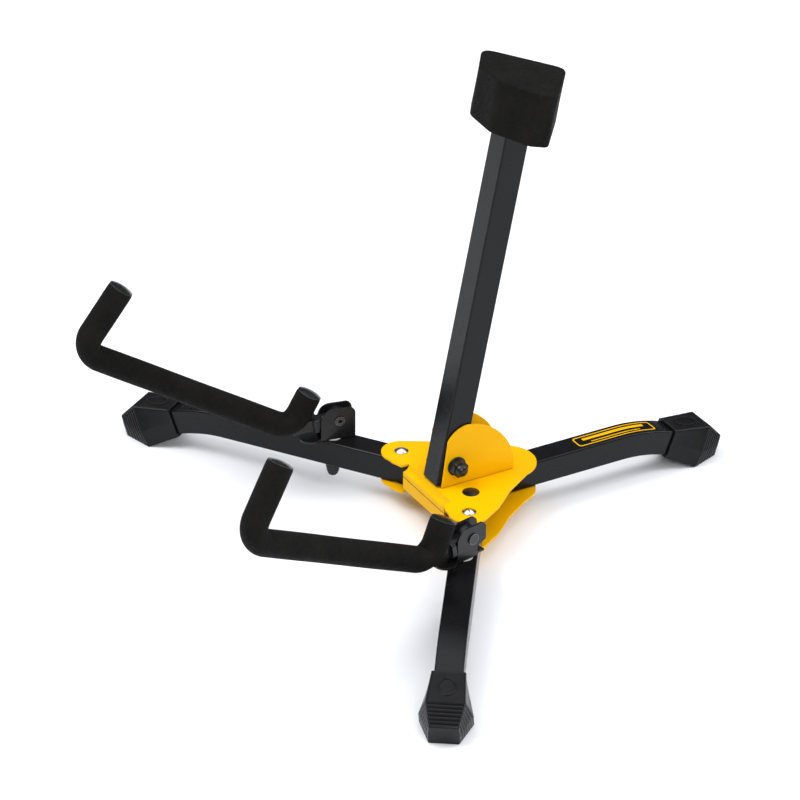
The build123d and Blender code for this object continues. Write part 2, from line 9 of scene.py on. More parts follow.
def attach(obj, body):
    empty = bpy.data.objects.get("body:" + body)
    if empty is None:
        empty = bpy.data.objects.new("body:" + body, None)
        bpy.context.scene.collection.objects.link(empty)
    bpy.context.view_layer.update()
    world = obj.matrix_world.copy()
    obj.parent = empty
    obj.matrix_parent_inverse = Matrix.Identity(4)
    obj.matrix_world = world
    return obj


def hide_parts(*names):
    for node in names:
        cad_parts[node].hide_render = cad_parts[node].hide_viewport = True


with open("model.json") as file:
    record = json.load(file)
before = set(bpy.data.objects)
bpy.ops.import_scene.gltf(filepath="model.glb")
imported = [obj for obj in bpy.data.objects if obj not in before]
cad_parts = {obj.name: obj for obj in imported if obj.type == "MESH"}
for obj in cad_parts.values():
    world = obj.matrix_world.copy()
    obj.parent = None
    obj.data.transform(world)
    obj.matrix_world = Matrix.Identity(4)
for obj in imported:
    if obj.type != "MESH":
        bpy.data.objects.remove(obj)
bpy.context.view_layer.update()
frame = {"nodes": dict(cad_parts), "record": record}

NODES = frame["nodes"]
MM = 0.001


# ---------------------------------------------------------------- materials
class Shader:
    """A Principled material with short calls for adding and joining nodes."""

    def __init__(self, name, color, roughness, metallic=0.0, **sockets):
        self.material = bpy.data.materials.new(name)
        self.material.use_nodes = True
        self.tree = self.material.node_tree
        self.bsdf = self.tree.nodes["Principled BSDF"]
        self.bsdf.inputs["Base Color"].default_value = (*color, 1.0)
        self.bsdf.inputs["Roughness"].default_value = roughness
        self.bsdf.inputs["Metallic"].default_value = metallic
        for key, value in sockets.items():
            self.bsdf.inputs[key.replace("_", " ")].default_value = value
        self.place = self.node("ShaderNodeTexCoord").outputs["Object"]

    def node(self, kind, **settings):
        made = self.tree.nodes.new(kind)
        for key, value in settings.items():
            setattr(made, key, value)
        return made

    def link(self, source, target):
        self.tree.links.new(source, target)

    def noise(self, scale, detail=2.0, roughness=0.5, stretch=None):
        made = self.node("ShaderNodeTexNoise")
        made.inputs["Scale"].default_value = scale
        made.inputs["Detail"].default_value = detail
        made.inputs["Roughness"].default_value = roughness
        source = self.place
        if stretch:
            mapping = self.node("ShaderNodeMapping")
            mapping.inputs["Scale"].default_value = stretch
            self.link(source, mapping.inputs["Vector"])
            source = mapping.outputs["Vector"]
        self.link(source, made.inputs["Vector"])
        return made.outputs["Fac"]

    def cells(self, scale):
        made = self.node("ShaderNodeTexVoronoi", feature="F1")
        made.inputs["Scale"].default_value = scale
        self.link(self.place, made.inputs["Vector"])
        return made.outputs["Distance"]

    def ramp(self, value, low, high, to_low=0.0, to_high=1.0):
        made = self.node("ShaderNodeMapRange")
        made.inputs["From Min"].default_value = low
        made.inputs["From Max"].default_value = high
        made.inputs["To Min"].default_value = to_low
        made.inputs["To Max"].default_value = to_high
        self.link(value, made.inputs["Value"])
        return made.outputs["Result"]

    def math(self, operation, a, b):
        made = self.node("ShaderNodeMath", operation=operation)
        for value, socket in ((a, made.inputs[0]), (b, made.inputs[1])):
            if isinstance(value, float):
                socket.default_value = value
            else:
                self.link(value, socket)
        return made.outputs["Value"]

    def mix(self, factor, color_a, color_b):
        made = self.node("ShaderNodeMix", data_type="RGBA")
        self.link(factor, made.inputs["Factor"])
        for color, socket in ((color_a, made.inputs[6]), (color_b, made.inputs[7])):
            if isinstance(color, tuple):
                socket.default_value = (*color, 1.0)
            else:
                self.link(color, socket)
        return made.outputs[2]

    def edges(self, radius):
        """1 along edges, 0 on flats."""
        bevel = self.node("ShaderNodeBevel", samples=6)
        bevel.inputs["Radius"].default_value = radius
        plain = self.node("ShaderNodeNewGeometry").outputs["Normal"]
        dot = self.node("ShaderNodeVectorMath", operation="DOT_PRODUCT")
        self.link(bevel.outputs["Normal"], dot.inputs[0])
        self.link(plain, dot.inputs[1])
        return self.ramp(dot.outputs["Value"], 0.98, 0.80)

    def crevice_shade(self, reach):
        """Painted shade mask: 0 deep in narrow gaps, 1 on open surfaces."""
        shade = self.node("ShaderNodeAmbientOcclusion", samples=8)
        shade.inputs["Distance"].default_value = reach
        return self.ramp(shade.outputs["AO"], 0.12, 0.6)

    def color(self, source):
        self.link(source, self.bsdf.inputs["Base Color"])

    def rough(self, source):
        self.link(source, self.bsdf.inputs["Roughness"])

    def bump(self, height, strength, distance, edge_radius=None):
        made = self.node("ShaderNodeBump")
        made.inputs["Strength"].default_value = strength
        made.inputs["Distance"].default_value = distance
        self.link(height, made.inputs["Height"])
        if edge_radius:
            bevel = self.node("ShaderNodeBevel", samples=6)
            bevel.inputs["Radius"].default_value = edge_radius
            self.link(bevel.outputs["Normal"], made.inputs["Normal"])
        self.link(made.outputs["Normal"], self.bsdf.inputs["Normal"])


def yellow_paint():
    s = Shader("yellow_powder_coat", (0.80, 0.42, 0.0005), 0.36, Specular_IOR_Level=0.08)
    cloud = s.ramp(s.noise(28, 3), 0.3, 0.7)
    paint = s.mix(cloud, (0.80, 0.43, 0.0004), (0.76, 0.39, 0.0005))
    # Painted shade: the paint turns dark brown in gaps, seams and contact lines, where shade falls.
    s.color(s.mix(s.crevice_shade(0.006), (0.16, 0.05, 0.0005), paint))
    s.rough(s.ramp(s.noise(160, 4), 0.3, 0.7, 0.32, 0.44))
    s.bump(s.noise(1400, 2), 0.16, 0.0003, 0.0005)
    return s.material


def black_tube():
    s = Shader("black_satin_coat", (0.003, 0.003, 0.0034), 0.26, Specular_IOR_Level=0.22)
    cloud = s.ramp(s.noise(18, 4), 0.3, 0.7)
    s.color(s.mix(cloud, (0.0022, 0.0022, 0.0026), (0.0042, 0.0041, 0.0044)))
    scuff = s.noise(60, 6, 0.7, (1.0, 1.0, 3.0))
    s.rough(s.ramp(scuff, 0.3, 0.7, 0.18, 0.30))
    s.bump(s.noise(1900, 3), 0.22, 0.0003)
    return s.material


def black_steel():
    s = Shader("black_gloss_coat", (0.006, 0.006, 0.0065), 0.28, Specular_IOR_Level=0.25,
               Coat_Weight=0.16, Coat_Roughness=0.1)
    # Painted highlight: a lighter grey along the edges, broken up by noise, stands in for light
    # caught on rounded edges.
    edge_glint = s.math("MULTIPLY", s.edges(0.0006), s.ramp(s.noise(220, 5, 0.7), 0.52, 0.66))
    s.color(s.mix(edge_glint, (0.006, 0.006, 0.0065), (0.06, 0.06, 0.06)))
    s.rough(s.ramp(s.noise(110, 5), 0.3, 0.7, 0.22, 0.38))
    s.bump(s.noise(1200, 2), 0.15, 0.0003, 0.0004)
    return s.material


def bare_steel():
    s = Shader("zinc_plated_steel", (0.52, 0.53, 0.54), 0.32, 1.0)
    s.color(s.mix(s.ramp(s.noise(60, 4), 0.3, 0.7), (0.44, 0.45, 0.46), (0.60, 0.61, 0.62)))
    s.rough(s.ramp(s.noise(300, 4), 0.3, 0.7, 0.24, 0.42))
    s.bump(s.noise(2200, 2), 0.1, 0.0002)
    return s.material


def chrome():
    s = Shader("bright_rivet", (0.6, 0.6, 0.6), 0.1, 1.0)
    plated = s.mix(s.ramp(s.noise(500, 3), 0.35, 0.7), (0.74, 0.74, 0.74), (0.5, 0.49, 0.48))
    # Painted reflection and shade: the head's edges turn nearly black, standing in for the dark
    # reflections and recess around a chrome dome.
    s.color(s.mix(s.edges(0.0012), plated, (0.03, 0.03, 0.03)))
    s.rough(s.ramp(s.noise(700, 4), 0.3, 0.7, 0.06, 0.2))
    s.bump(s.noise(900, 3), 0.3, 0.0003)
    return s.material


def dark_rivet():
    s = Shader("black_oxide_rivet", (0.09, 0.09, 0.09), 0.3, 1.0)
    # Painted highlight: the rivet's edges are a lighter grey, standing in for light caught on rounded
    # edges.
    s.color(s.mix(s.edges(0.0006), (0.06, 0.06, 0.062), (0.36, 0.35, 0.34)))
    s.rough(s.ramp(s.noise(500, 4), 0.3, 0.7, 0.22, 0.4))
    s.bump(s.noise(1500, 2), 0.12, 0.0002)
    return s.material


def rubber():
    s = Shader("moulded_rubber", (0.004, 0.004, 0.0043), 0.36, Specular_IOR_Level=0.22)
    dust = s.ramp(s.noise(45, 5, 0.65), 0.45, 0.75)
    s.color(s.mix(dust, (0.003, 0.003, 0.0033), (0.0075, 0.0072, 0.007)))
    s.rough(s.ramp(s.noise(140, 4), 0.3, 0.7, 0.28, 0.44))
    s.bump(s.noise(1700, 4, 0.6), 0.35, 0.0003)
    return s.material


def foam():
    s = Shader("closed_cell_foam", (0.005, 0.0045, 0.004), 0.8, Specular_IOR_Level=0.1)
    s.color(s.mix(s.ramp(s.noise(55, 5), 0.3, 0.7), (0.004, 0.0036, 0.0032), (0.0075, 0.0068, 0.006)))
    s.rough(s.ramp(s.noise(400, 4), 0.3, 0.7, 0.68, 0.86))
    grain = s.math("ADD", s.cells(1500), s.noise(900, 4, 0.7))
    s.bump(grain, 0.5, 0.0003)
    return s.material


def nylon():
    s = Shader("nylon_washer", (0.55, 0.54, 0.50), 0.45)
    s.color(s.mix(s.ramp(s.noise(90, 3), 0.3, 0.7), (0.60, 0.59, 0.55), (0.50, 0.49, 0.45)))
    s.rough(s.ramp(s.noise(300, 3), 0.3, 0.7, 0.38, 0.52))
    s.bump(s.noise(1500, 2), 0.1, 0.0002)
    return s.material


def black_plastic():
    s = Shader("black_moulded_plastic", (0.006, 0.006, 0.0065), 0.3, Specular_IOR_Level=0.4)
    s.color(s.mix(s.ramp(s.noise(70, 4), 0.3, 0.7), (0.005, 0.005, 0.0055), (0.009, 0.009, 0.0095)))
    s.rough(s.ramp(s.noise(260, 4), 0.3, 0.7, 0.2, 0.38))
    s.bump(s.noise(1300, 3), 0.14, 0.0003, 0.0004)
    return s.material


def gloss_cap():
    s = Shader("gloss_end_cap", (0.006, 0.006, 0.006), 0.2, Specular_IOR_Level=0.45)
    s.color(s.mix(s.ramp(s.noise(80, 3), 0.3, 0.7), (0.008, 0.008, 0.008), (0.014, 0.014, 0.014)))
    s.rough(s.ramp(s.noise(350, 4), 0.3, 0.7, 0.16, 0.3))
    s.bump(s.noise(800, 3), 0.12, 0.0003)
    return s.material


MATERIALS = {
    "yellow_paint": yellow_paint(), "black_tube": black_tube(), "black_steel": black_steel(),
    "bare_steel": bare_steel(), "chrome_rivet": chrome(), "dark_rivet": dark_rivet(),
    "rubber_foot": rubber(), "foam": foam(), "nylon": nylon(),
    "black_plastic": black_plastic(), "gloss_cap": gloss_cap(),
}

for part in frame["record"]["subparts"]:
    mesh = NODES[part["node"]].data
    mesh.materials.clear()
    mesh.materials.append(MATERIALS[part["material_slot"]])


# ---------------------------------------------------------------- places on the stand
# The CAD frame's zero is the middle of the footprint; the hub's zero is SHIFT away from it.
SHIFT = Matrix.Translation((-10.7816, 0, 0))
SIDES = {"left": 1, "right": -1}
# Millimetres and degrees, the same as in the CAD part.
HUB_TOP, HUB_BOTTOM, RIVET_Y, LEG_OPEN = 41.0, 17.0, 49.5, 124.5
EAR_FACE = 12.0                      # outer face of the clevis ears
PIVOT_X, PIVOT_Z = 11.0, HUB_TOP + 15.8
TUBE_Z, LEG_TOP, LEG_FLOOR = 29.0, 39.0, 19.0
BEND_START, REAR_BEND_START, BEND_R, DROOP = 146.3, 158.0, 121.0, 20.0
BRACKET_U, BRACKET_YAW, PIN_BACK, PIN_Z = 57.0, 11.7, 3.8, 54.4
ARM_REACH, ARM_SINK, ARM_LONG, ARM_OUTER, ARM_INNER = 29.6, 21.7, 180.3, 58.0, 33.5
OUTER_LEAN, INNER_LEAN = 4.7, 2.0
ARM_BEND, FOAM_R, CAP_H = 15.0, 9.7, 2.2
ARM_PITCH = {"left": 30.1, "right": 26.8}
KNEE_X, KNEE_SLANT, TIP_X, TOE_SLANT = 59.7, 30.0, 83.2, 19.0
FOOT_HALF, FOOT_BORE_HALF = 11.9, 10.15
KNEE_HALF, KNEE_H, KNEE_TOP_HALF, KNEE_TOP_H = 18.6, 13.4, 13.4, 33.5
TOE_HALF, TOE_H = 10.5, 16.9
PAD_BORE_R = 13.6
LEAN, UPRIGHT_X, PAD_FOOT, PAD_H, PAD_TURN = 11.05, 5.55, 277.7, 38.5, -34.3


def spin(degrees, axis):
    return Matrix.Rotation(math.radians(degrees), 4, axis)


def at(x, y, z):
    return Matrix.Translation((x, y, z))


def leg_place(side):
    """Leg's frame: zero on the floor under its rivet, +X out along the leg."""
    return SHIFT @ at(0, side * RIVET_Y, 0) @ spin(side * LEG_OPEN, "Z")


def bracket_place(side):
    bolt = leg_place(side) @ Vector((BRACKET_U, 0, 0))
    return Matrix.Translation(bolt) @ spin(side * (180 - BRACKET_YAW), "Z")


def arm_place(name):
    return bracket_place(SIDES[name]) @ at(-PIN_BACK, 0, PIN_Z) @ spin(-ARM_PITCH[name], "Y")


def upright_place(distance):
    lean = math.radians(LEAN)
    origin = (UPRIGHT_X + distance * math.sin(lean), 0, HUB_TOP + distance * math.cos(lean))
    return SHIFT @ at(*origin) @ spin(LEAN, "Y")


# ---------------------------------------------------------------- mesh building
def skin(name, rings, place, close_ends=True, flat_angle=40.0):
    """Quads between closed rings of points, in millimetres, set in place as one mesh."""
    bm = bmesh.new()
    rows = [[bm.verts.new(place @ Vector(p) * MM) for p in ring] for ring in rings]
    count = len(rows[0])
    for low, high in zip(rows, rows[1:]):
        for i in range(count):
            j = (i + 1) % count
            bm.faces.new((low[i], low[j], high[j], high[i]))
    if close_ends:
        bm.faces.new(reversed(rows[0]))
        bm.faces.new(rows[-1])
    bmesh.ops.recalc_face_normals(bm, faces=bm.faces)
    return finished(name, bm, flat_angle)


def finished(name, bm, flat_angle=40.0):
    mesh = bpy.data.meshes.new(name)
    for face in bm.faces:
        face.smooth = True
    for edge in bm.edges:
        if len(edge.link_faces) == 2 and edge.calc_face_angle(0) > math.radians(flat_angle):
            edge.smooth = False
    bm.to_mesh(mesh)
    bm.free()
    made = bpy.data.objects.new(name, mesh)
    bpy.context.scene.collection.objects.link(made)
    return made


def stand_in(made, body, slot, *nodes):
    """Give a piece its material and body, in place of its CAD nodes."""
    made.data.materials.clear()
    made.data.materials.append(MATERIALS[slot])
    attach(made, body)
    if nodes:
        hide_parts(*nodes)
    return made


def lathe(name, profile, place, segments=64, flat_angle=40.0):
    """Turned piece about local Z; profile is (radius, height) from the axis back to it."""
    rings = []
    for radius, height in profile:
        r = max(radius, 0.01)
        angles = [2 * math.pi * i / segments for i in range(segments)]
        rings.append([(r * math.cos(a), r * math.sin(a), height) for a in angles])
    return skin(name, rings, place, flat_angle=flat_angle)


def arc(cx, cz, radius, start, end, steps):
    """Points on an arc, angles in degrees, both ends included."""
    angles = [math.radians(start + (end - start) * i / steps) for i in range(steps + 1)]
    return [(cx + radius * math.cos(a), cz + radius * math.sin(a)) for a in angles]


def rounded(corners, radii, steps=6):
    """Closed outline through corners, each rounded with its own radius."""
    points = []
    total = len(corners)
    for i, radius in enumerate(radii):
        corner = Vector(corners[i])
        before = (Vector(corners[i - 1]) - corner).normalized()
        after = (Vector(corners[(i + 1) % total]) - corner).normalized()
        half = before.angle(after) / 2
        reach = radius / math.tan(half) if half < 1.5 else radius * 0.4
        start, end = corner + before * reach, corner + after * reach
        for k in range(steps + 1):
            t = k / steps
            point = start.lerp(corner, t).lerp(corner.lerp(end, t), t)
            points.append((point.x, point.y))
    return points


# ---------------------------------------------------------------- feet
def foot_rings():
    """Rings of a rubber foot in the leg's frame with the bend's start at x = 0."""
    slope = math.radians(DROOP)
    mouth_x, mouth_z = BEND_R * math.sin(slope), TUBE_Z - BEND_R * (1 - math.cos(slope))
    half = FOOT_HALF
    mouth = [(-half, -half), (half, -half), (half, 0.2 * half),
             (half, half), (-half, half), (-half, 0.2 * half)]
    bore = [(y * FOOT_BORE_HALF / half, w * FOOT_BORE_HALF / half) for y, w in mouth]
    knee = [(-KNEE_HALF, 0), (KNEE_HALF, 0), (KNEE_HALF, KNEE_H),
            (KNEE_TOP_HALF, KNEE_TOP_H), (-KNEE_TOP_HALF, KNEE_TOP_H), (-KNEE_HALF, KNEE_H)]
    toe = [(-TOE_HALF, 0), (TOE_HALF, 0), (TOE_HALF, 9.3),
           (9.9, TOE_H), (-9.9, TOE_H), (-TOE_HALF, 9.3)]
    knee_rise, toe_rise = 29.0, 16.0             # tops of the two sections above the floor
    mouth_r = [1.6, 1.6, 1.0, 2.2, 2.2, 1.0]
    knee_r = [1.0, 1.0, 2.4, 2.2, 2.2, 2.4]
    toe_r = [0.8, 0.8, 1.0, 1.4, 1.4, 1.0]

    def on_mouth(y, w, inset=0.0):
        x = mouth_x + w * math.sin(slope) + inset * math.cos(slope)
        return (x, y, mouth_z + w * math.cos(slope) - inset * math.sin(slope))

    slant, lean = math.radians(KNEE_SLANT), math.radians(TOE_SLANT)
    wide = [(KNEE_X + z * math.sin(slant), y, z * math.cos(slant)) for y, z in rounded(knee, knee_r)]
    blunt = [(TIP_X + z * math.sin(lean), y, z * math.cos(lean)) for y, z in rounded(toe, toe_r)]

    def section(t, groove=0.0):
        """Between the knee and the toe, which both lean out; a groove draws the ring in."""
        top = knee_rise + (toe_rise - knee_rise) * t
        half = KNEE_HALF + (TOE_HALF - KNEE_HALF) * t
        ring = []
        for a, b in zip(wide, blunt):
            x, y, z = (a[k] + (b[k] - a[k]) * t for k in range(3))
            ring.append((x - 0.8 * groove * min(z / top, 1), y * (1 - groove * min(z / 3, 1) / half),
                         z - groove * max(0.0, z / top) ** 2))
        return ring

    rings = [[on_mouth(y, w, inset) for y, w in rounded(bore, mouth_r)] for inset in (3.0, 0.5)]
    lip = [(y * 0.965, w * 0.965) for y, w in mouth]
    rings.append([on_mouth(y, w, 0.0) for y, w in rounded(lip, mouth_r)])
    rings.append([on_mouth(y, w, 0.45) for y, w in rounded(mouth, mouth_r)])
    first = [on_mouth(y, w, 1.0) for y, w in rounded(mouth, mouth_r)]
    last = section(0.0)
    for i in range(17):
        t = i / 16
        rings.append([tuple(a[k] + (b[k] - a[k]) * t for k in range(3)) for a, b in zip(first, last)])
    ribs, per_rib = 6, 8
    for i in range(1, ribs * per_rib + 1):
        t = i / (ribs * per_rib)
        wave = (1 - math.cos(2 * math.pi * ribs * t)) / 2
        rings.append(section(t * 0.9, 0.7 * wave ** 1.5))
    rings += [section(0.93), section(0.97, 0.05), section(0.992, 0.2), section(1.0, 0.6)]
    return rings


def emblem(name, place, body):
    """Plain raised oval on the foot's top panel."""
    (start, high), (end, low) = (45.5, 33.0), (76.4, 29.0)      # the panel seen from the side
    slope = math.atan2(high - low, end - start)
    middle = place @ at(61.5, 0, 30.95) @ Matrix.Rotation(slope, 4, "Y")
    rings = []
    steps = 56
    for width, height in ((0.0, -0.4), (0.0, 0.3), (0.3, 0.5), (0.8, 0.5), (1.1, 0.3), (1.1, -0.4)):
        a, b = 8.0 + width, 5.2 + width
        angles = [2 * math.pi * i / steps for i in range(steps)]
        rings.append([(a * math.cos(t), b * math.sin(t), height) for t in angles])
    rings.append(rings[0])
    made = skin(name, rings, middle, close_ends=False)
    return stand_in(made, body, "rubber_foot")


def build_feet():
    for name, place, start, body in (
        ("left_foot", leg_place(1), BEND_START, "left_leg"),
        ("right_foot", leg_place(-1), BEND_START, "right_leg"),
        ("rear_foot", SHIFT, REAR_BEND_START, "hub"),
    ):
        here = place @ at(start, 0, 0)
        stand_in(skin(name + "_boot", foot_rings(), here), body, "rubber_foot", name)
        emblem(name + "_oval", here, body)


# ---------------------------------------------------------------- arms
def peg_point(corner, length, lean):
    tilt = math.radians(lean)
    return (ARM_REACH + corner + length * math.sin(tilt), length * math.cos(tilt))


def arm_route(trim):
    """Points down the arm, closest in its bends: place, heading, angle from the bend's near end."""
    points = [Vector(c) for c in (
        peg_point(ARM_LONG, ARM_OUTER - trim, -OUTER_LEAN), (ARM_REACH + ARM_LONG, 0),
        (ARM_REACH, 0), peg_point(0, ARM_INNER - trim, INNER_LEAN),
    )]
    route = []
    start = points[0]
    for i in (1, 2):
        into = (points[i] - points[i - 1]).normalized()
        out = (points[i + 1] - points[i]).normalized()
        turn = into.angle(out)
        reach = ARM_BEND * math.tan(turn / 2)
        enter = points[i] - into * reach
        steps = max(2, round((enter - start).length / 1.5))
        route += [(start.lerp(enter, k / steps), into, 0.0) for k in range(steps)]
        centre = enter + Vector((into.y, -into.x)) * ARM_BEND
        bends = 28
        for k in range(bends):
            angle = turn * k / bends
            rotated = Matrix.Rotation(-angle, 2)
            point = centre + rotated @ (enter - centre)
            route.append((point, rotated @ into, min(angle, turn - angle)))
        start = points[i] + out * reach
    last = points[3]
    steps = max(2, round((last - start).length / 1.5))
    out = (last - start).normalized()
    route += [(start.lerp(last, k / steps), out, 0.0) for k in range(steps + 1)]
    return route


def foam_tube(name):
    """Foam sleeve: folded sharp inside each bend, slightly uneven along its length."""
    route = arm_route(CAP_H + 0.05)
    rings = []
    segments = 64
    total = len(route)
    for n, (point, along, angle) in enumerate(route):
        ring = []
        inward = Vector((along.y, -along.x))
        edge = min(n, total - 1 - n)
        ends = 1.0 - 0.05 * math.exp(-edge / 0.6)
        fold = (ARM_BEND - FOAM_R) * (1 / math.cos(angle) - 1)
        for k in range(segments):
            a = 2 * math.pi * k / segments
            across, lateral = math.cos(a), math.sin(a)
            uneven = 0.07 * math.sin(n * 0.11 + 2 * math.sin(a)) + 0.05 * math.sin(n * 0.043 + a)
            r = (FOAM_R - 0.12 + uneven) * ends
            deep = r * across - fold * max(0.0, across) ** 2
            x, z = point + inward * deep
            ring.append((x, lateral * r, z - ARM_SINK))
        rings.append(ring)
    return skin(name, rings, arm_place(name.split("_")[0]), flat_angle=50)


def cap_profile():
    """Half outline of an end cap: sleeve on the rod, thin rim and low dome."""
    under = [(0.01, -1.0), (4.05, -1.0), (4.05, -8.0), (5.5, -8.0), (5.5, -0.02), (9.05, -0.02)]
    rim = [(9.25, 0.1), (9.28, 0.3), (9.2, 0.5), (8.95, 0.58)]
    return under + rim + [(r, 0.6 + z) for r, z in dome(8.8, 1.58, 14)]


def build_arms():
    for name in SIDES:
        body = name + "_arm"
        sleeve = stand_in(foam_tube(name + "_sleeve"), body, "foam", name + "_arm_foam")
        for part, corner, length, lean in (("outer", ARM_LONG, ARM_OUTER, -OUTER_LEAN),
                                           ("inner", 0, ARM_INNER, INNER_LEAN)):
            x, z = peg_point(corner, length - CAP_H, lean)
            place = arm_place(name) @ at(x, 0, z - ARM_SINK) @ spin(lean, "Y")
            cap = lathe(f"{name}_{part}_cap", cap_profile(), place, flat_angle=60)
            stand_in(cap, body, "gloss_cap")
        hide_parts(name + "_arm_caps")


# ---------------------------------------------------------------- bell pad
def pad_outline():
    """The block in plan, six rounded corners: wide at one end, cut back at the other."""
    corners = [(-31.0, 36.8), (30.5, 27.6), (26.6, -39.0),
               (13.6, -43.8), (-15.0, -29.5), (-30.6, -1.0)]
    return rounded(corners, [10.0, 11.0, 6.0, 8.0, 14.0, 16.0], steps=12)


def build_pad():
    """Foam block: soft edges, faintly waisted sides, round bore around the tube."""
    place = upright_place(PAD_FOOT) @ spin(PAD_TURN, "Z")
    outline = [Vector(p) for p in pad_outline()]
    count = len(outline)
    normals = []
    for i in range(count):
        tangent = outline[(i + 1) % count] - outline[i - 1]
        normals.append(Vector((tangent.y, -tangent.x)).normalized())
    if sum(n.dot(p) for n, p in zip(normals, outline)) < 0:
        normals = [-n for n in normals]

    def ring(inset, z, share=1.0):
        drawn_in = [p - n * inset for p, n in zip(outline, normals)]
        return [(q.x * share, q.y * share, z) for q in drawn_in]

    def bore(radius, z):
        points = []
        for p in outline:
            a = math.atan2(p.y, p.x)
            points.append((radius * math.cos(a), radius * math.sin(a), z))
        return points

    rounding = ((0.8, 0.25), (0.2, 0.85), (0.05, 1.6))
    rings = [bore(PAD_BORE_R, 28.0), bore(PAD_BORE_R, 1.2), bore(PAD_BORE_R + 1.0, 0.1)]
    rings += [ring(6.0, 0.0), ring(1.7, 0.02)]
    rings += [ring(inset, depth) for inset, depth in rounding]
    for i in range(1, 14):
        z = 1.6 + (PAD_H - 3.2) * i / 14
        waist = 0.22 * math.sin(math.pi * i / 14)
        rings.append(ring(0.05 + waist, z))
    rings += [ring(inset, PAD_H - depth) for inset, depth in reversed(rounding)]
    rings.append(ring(1.7, PAD_H - 0.06))
    for share in (0.88, 0.76, 0.62, 0.48, 0.34, 0.2, 0.08):
        rings.append(ring(1.7, PAD_H - 0.06 * share, share))
    pad = skin("pad_block", rings, place, flat_angle=60)
    stand_in(pad, "pad", "foam", "bell_pad")


# ---------------------------------------------------------------- fasteners
def dome(radius, height, steps=12):
    """Profile of a low dome from its rim to the axis."""
    big = (radius ** 2 + height ** 2) / (2 * height)
    edge = math.degrees(math.asin((big - height) / big))
    return arc(0, height - big, big, edge, 90, steps)


def rivet_profile(low, high, head_r, head_h, tail_r, tail_h, shank):
    """Half outline of a leg rivet: rounded tail, shank, and head with a small step."""
    roll = ((0.55, 1.0), (0.75, 0.9), (0.93, 0.6), (1.0, 0.2), (1.0, 0.0))
    tail = [(0.01, low - tail_h)] + [(tail_r * r, low - tail_h * z) for r, z in roll] + [(shank, low)]
    head = [(shank, high), (head_r - 0.1, high), (head_r, high + 0.12),
            (head_r, high + 0.35), (head_r - 0.25, high + 0.5)]
    crown = [(r, high + 0.5 + z) for r, z in dome(head_r - 0.45, head_h - 0.55)]
    return tail + head + crown


def build_rivets():
    for name, side in SIDES.items():
        profile = rivet_profile(HUB_BOTTOM, HUB_TOP, 5.2, 2.3, 5.0, 1.6, 3.0)
        piece = lathe(name + "_pivot_rivet", profile, SHIFT @ at(0, side * RIVET_Y, 0))
        stand_in(piece, "hub", "chrome_rivet", name + "_leg_rivet")


HARDWARE_SEGMENTS = 60


def circle(radius, z):
    angles = [2 * math.pi * k / HARDWARE_SEGMENTS for k in range(HARDWARE_SEGMENTS)]
    return [(radius * math.cos(a), radius * math.sin(a), z) for a in angles]


def hexagon(across, height, z0, chamfer):
    """Rings of a hexagon prism with turned corners at both ends."""
    rings = []
    low, high = z0 + chamfer, z0 + height - chamfer
    for z, limit in ((z0, 1.03), (low, 1.13), (high, 1.13), (z0 + height, 1.03)):
        ring = []
        for k in range(HARDWARE_SEGMENTS):
            a = 2 * math.pi * k / HARDWARE_SEGMENTS
            local = (a % (math.pi / 3)) - math.pi / 6
            flat = across / 2 / math.cos(local)
            turned = across / 2 * limit
            r = min(flat, turned)
            ring.append((r * math.cos(a), r * math.sin(a), z))
        rings.append(ring)
    return rings


def build_pivot_hardware():
    """Flanged cap nut on the right ear and flanged hexagon head on the left ear."""
    place = SHIFT @ at(PIVOT_X, -EAR_FACE, PIVOT_Z) @ spin(90, "X") @ spin(12, "Z")
    flange = ((3.2, 0.0), (7.2, 0.0), (7.4, 0.2), (7.4, 0.9), (7.1, 1.2))
    rings = [circle(r, z) for r, z in flange]
    rings += hexagon(12.0, 5.4, 1.2, 0.6)
    rings += [circle(5.0, 6.6), circle(4.95, 7.4)]
    for degrees in range(8, 91, 8):
        a = math.radians(degrees)
        rings.append(circle(max(4.9 * math.cos(a), 0.01), 7.4 + 4.15 * math.sin(a)))
    nut = skin("pivot_cap_nut", rings, place, flat_angle=35)
    stand_in(nut, "hub", "black_plastic", "pivot_nut")

    place = SHIFT @ at(PIVOT_X, EAR_FACE, PIVOT_Z) @ spin(-90, "X") @ spin(20, "Z")
    shank = ((3.0, -24.0), (3.0, 0.0))
    collar = ((6.8, 0.0), (7.0, 0.2), (7.0, 0.9), (6.6, 1.2))
    rings = [circle(r, z) for r, z in shank + collar]
    rings += hexagon(11.2, 4.6, 1.2, 0.6)
    rings += [circle(4.2, 5.8), circle(4.0, 5.3), circle(0.01, 5.3)]
    bolt = skin("pivot_hex_bolt", rings, place, flat_angle=35)
    stand_in(bolt, "hub", "black_steel", "pivot_bolt")


def build_bracket_caps():
    """Stepped nut caps under the front legs."""
    for name, side in SIDES.items():
        profile = [(2.6, 0.0)]
        for radius, depth in ((5.9, 3.2), (5.4, 6.0), (4.9, 8.8)):
            top = profile[-1][1]
            profile += [(radius - 0.3, top), (radius, top + 0.25),
                        (radius, depth - 0.35), (radius - 0.3, depth)]
        profile.append((4.4, 8.8))
        for degrees in range(0, 91, 9):
            a = math.radians(degrees)
            profile.append((4.4 * math.cos(a), 9.2 + 4.35 * math.sin(a)))
        place = bracket_place(side) @ at(0, 0, LEG_FLOOR) @ spin(180, "X")
        cap = lathe(name + "_nut_cap", profile, place, segments=48, flat_angle=35)
        stand_in(cap, name + "_leg", "black_plastic", name + "_bracket_cap")


# ---------------------------------------------------------------- label on the rear leg
def leg_top(distance, y, lift=0.0):
    """Point on the rear leg's upper face, this far along it from the hub's zero."""
    if distance <= REAR_BEND_START:
        return (distance, y, LEG_TOP + lift)
    angle = (distance - REAR_BEND_START) / BEND_R
    r = BEND_R + (LEG_TOP - TUBE_Z) + lift
    return (REAR_BEND_START + r * math.sin(angle), y, TUBE_Z - BEND_R + r * math.cos(angle))


